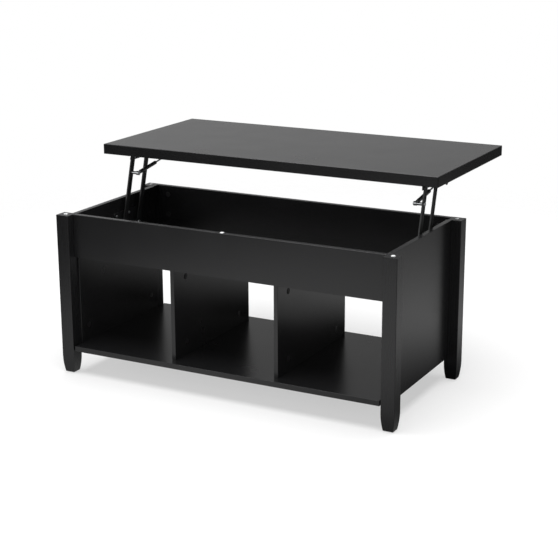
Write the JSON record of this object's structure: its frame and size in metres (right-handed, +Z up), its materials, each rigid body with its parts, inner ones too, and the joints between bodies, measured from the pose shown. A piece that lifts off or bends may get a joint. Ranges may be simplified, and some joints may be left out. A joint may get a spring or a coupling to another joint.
{
  "type": "lift top coffee table",
  "caption": "Rectangular coffee table whose top rises and slides back on hinged arms over a hidden compartment, with open bays below and square tapered legs.",
  "frame": {"origin": "on the floor, under the middle of the outline with the top raised", "axes": "+X along the table to its right-hand end, +Y from front to back, the way the rising top moves, +Z up"},
  "size_m": [1.041, 0.743, 0.622],
  "materials": {
    "black_board": "satin black laminate over board",
    "black_wood": "satin black paint over solid wood",
    "black_steel": "black powder coat",
    "zinc_steel": "bright zinc plate",
    "chrome_rod": "polished hard chrome",
    "strut_paint": "gloss black paint",
    "clear_rubber": "clear soft pad",
    "black_plastic": "moulded black plastic",
    "zinc_casting": "zinc die casting",
    "beech": "plain fluted beech"
  },
  "bodies": {
    "carcass": {"leg_front_left": "black_wood", "leg_front_right": "black_wood", "leg_rear_left": "black_wood", "leg_rear_right": "black_wood", "front_apron": "black_board", "rear_apron": "black_board", "end_panel_left": "black_board", "end_panel_right": "black_board", "bottom_shelf": "black_board", "divider_left": "black_board", "divider_right": "black_board", "compartment_floor": "black_board", "foot_glides": "black_plastic", "lid_bumpers": "clear_rubber", "cam_locks": "zinc_casting", "cam_bolts": "zinc_steel", "cam_covers": "black_plastic", "wood_dowels": "beech", "lower_bracket_left": "black_steel", "lower_bracket_right": "black_steel", "lower_bracket_screws": "zinc_steel", "lower_rivets": "zinc_steel", "lower_spacers": "black_plastic", "lower_washers": "zinc_steel"},
    "arm_front_left": {"arm_front_left": "black_steel", "strut_stud_left": "zinc_steel", "strut_clip_left": "zinc_steel"},
    "arm_rear_left": {"arm_rear_left": "black_steel"},
    "arm_front_right": {"arm_front_right": "black_steel", "strut_stud_right": "zinc_steel", "strut_clip_right": "zinc_steel"},
    "arm_rear_right": {"arm_rear_right": "black_steel"},
    "top": {"table_top": "black_board", "upper_bracket_left": "black_steel", "upper_bracket_right": "black_steel", "upper_bracket_screws": "zinc_steel", "upper_rivets": "zinc_steel", "upper_washers": "zinc_steel", "strut_anchor_pins": "zinc_steel"},
    "strut_tube_left": {"strut_base_eye_left": "zinc_steel", "strut_tube_left": "strut_paint", "strut_cap_left": "strut_paint"},
    "strut_tube_right": {"strut_base_eye_right": "zinc_steel", "strut_tube_right": "strut_paint", "strut_cap_right": "strut_paint"},
    "strut_rod_left": {"strut_rod_left": "chrome_rod", "strut_rod_eye_left": "zinc_steel"},
    "strut_rod_right": {"strut_rod_right": "chrome_rod", "strut_rod_eye_right": "zinc_steel"}
  },
  "joints": [
    {"name": "lift", "type": "hinge", "parent": "carcass", "child": "arm_front_left", "pos_m": [-0.4615, -0.11702, 0.37821], "axis": [1, 0, 0], "range_deg": [0, 84.76]},
    {"name": "top_level", "type": "hinge", "parent": "arm_front_left", "child": "top", "pos_m": [-0.4615, -0.05858, 0.582], "axis": [1, 0, 0], "range_deg": [-84.76, 0]},
    {"name": "rear_arm_left", "type": "hinge", "parent": "carcass", "child": "arm_rear_left", "pos_m": [-0.4615, -0.04202, 0.37821], "axis": [1, 0, 0], "range_deg": [0, 84.76]},
    {"name": "front_arm_right", "type": "hinge", "parent": "carcass", "child": "arm_front_right", "pos_m": [0.4615, -0.11702, 0.37821], "axis": [1, 0, 0], "range_deg": [0, 84.76]},
    {"name": "rear_arm_right", "type": "hinge", "parent": "carcass", "child": "arm_rear_right", "pos_m": [0.4615, -0.04202, 0.37821], "axis": [1, 0, 0], "range_deg": [0, 84.76]},
    {"name": "strut_swing_left", "type": "hinge", "parent": "arm_front_left", "child": "strut_tube_left", "pos_m": [-0.438, -0.07237, 0.53394], "axis": [1, 0, 0], "range_deg": [-94.98, 0]},
    {"name": "strut_slide_left", "type": "slide", "parent": "strut_tube_left", "child": "strut_rod_left", "axis": [0, -0.9883, -0.1526], "range_m": [0, 0.06243]},
    {"name": "strut_swing_right", "type": "hinge", "parent": "arm_front_right", "child": "strut_tube_right", "pos_m": [0.438, -0.07237, 0.53394], "axis": [1, 0, 0], "range_deg": [-94.98, 0]},
    {"name": "strut_slide_right", "type": "slide", "parent": "strut_tube_right", "child": "strut_rod_right", "axis": [0, -0.9883, -0.1526], "range_m": [0, 0.06243]}
  ],
  "couplings": [
    {"joint": "top_level", "follows": "lift", "ratio": -1},
    {"joint": "rear_arm_left", "follows": "lift", "ratio": 1},
    {"joint": "front_arm_right", "follows": "lift", "ratio": 1},
    {"joint": "rear_arm_right", "follows": "lift", "ratio": 1},
    {"joint": "strut_swing_left", "follows": "lift", "ratio": -1.1205},
    {"joint": "strut_slide_left", "follows": "lift", "m_per_rad": 0.042197},
    {"joint": "strut_swing_right", "follows": "lift", "ratio": -1.1205},
    {"joint": "strut_slide_right", "follows": "lift", "m_per_rad": 0.042197}
  ]
}
